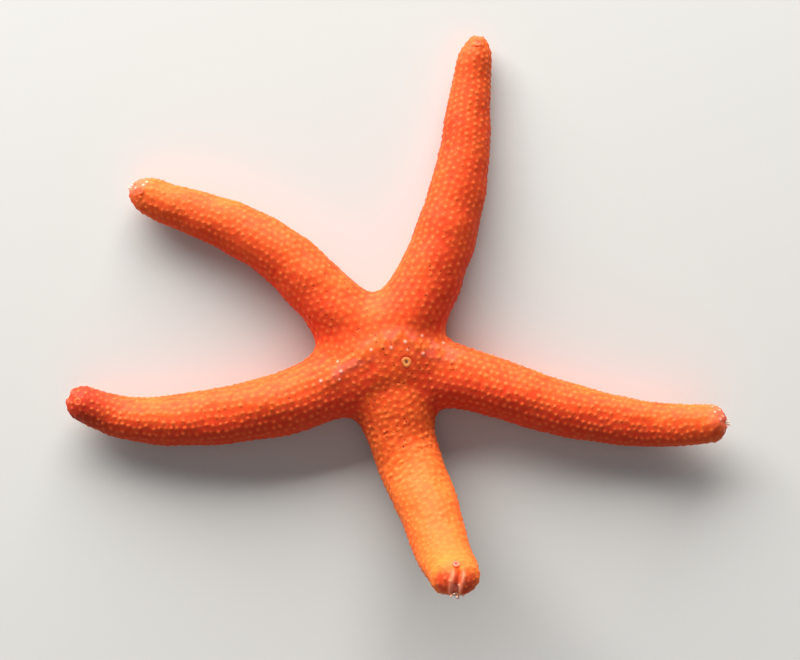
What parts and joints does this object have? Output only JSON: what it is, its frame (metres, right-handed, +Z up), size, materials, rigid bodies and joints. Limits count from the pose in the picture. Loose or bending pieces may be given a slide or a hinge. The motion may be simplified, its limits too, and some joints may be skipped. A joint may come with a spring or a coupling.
{
  "type": "starfish",
  "caption": "Life-size still model of a red sea star with slender tapering round arms, lying mouth down with one arm raised.",
  "frame": {"origin": "on the ground, under the middle of the whole animal's box; the disc's middle is at x -3.6 mm, y -15 mm", "axes": "+Z up from the ground through the animal's back, +X along its widest span towards the right arm, +Y towards the back arm"},
  "size_m": [0.1849, 0.1537, 0.0422],
  "materials": {
    "disc_skin": "damp rough spiny skin, satin",
    "arm_skin": "damp rough spiny skin, satin",
    "sieve_plate": "fine ridged chalk, matte",
    "tip_plate": "smooth chalk, matte"
  },
  "bodies": {
    "root": {"disc": "disc_skin", "sieve_plate": "sieve_plate", "back_arm_base": "arm_skin", "back_arm_middle": "arm_skin", "back_arm_end": "arm_skin", "back_arm_tip_plate": "tip_plate", "back_left_arm_base": "arm_skin", "back_left_arm_middle": "arm_skin", "back_left_arm_end": "arm_skin", "back_left_arm_tip_plate": "tip_plate", "left_arm_base": "arm_skin", "left_arm_middle": "arm_skin", "left_arm_end": "arm_skin", "left_arm_tip_plate": "tip_plate", "raised_arm_base": "arm_skin", "raised_arm_middle": "arm_skin", "raised_arm_end": "arm_skin", "raised_arm_tip_plate": "tip_plate", "right_arm_base": "arm_skin", "right_arm_middle": "arm_skin", "right_arm_end": "arm_skin", "right_arm_tip_plate": "tip_plate"}
  },
  "joints": []
}
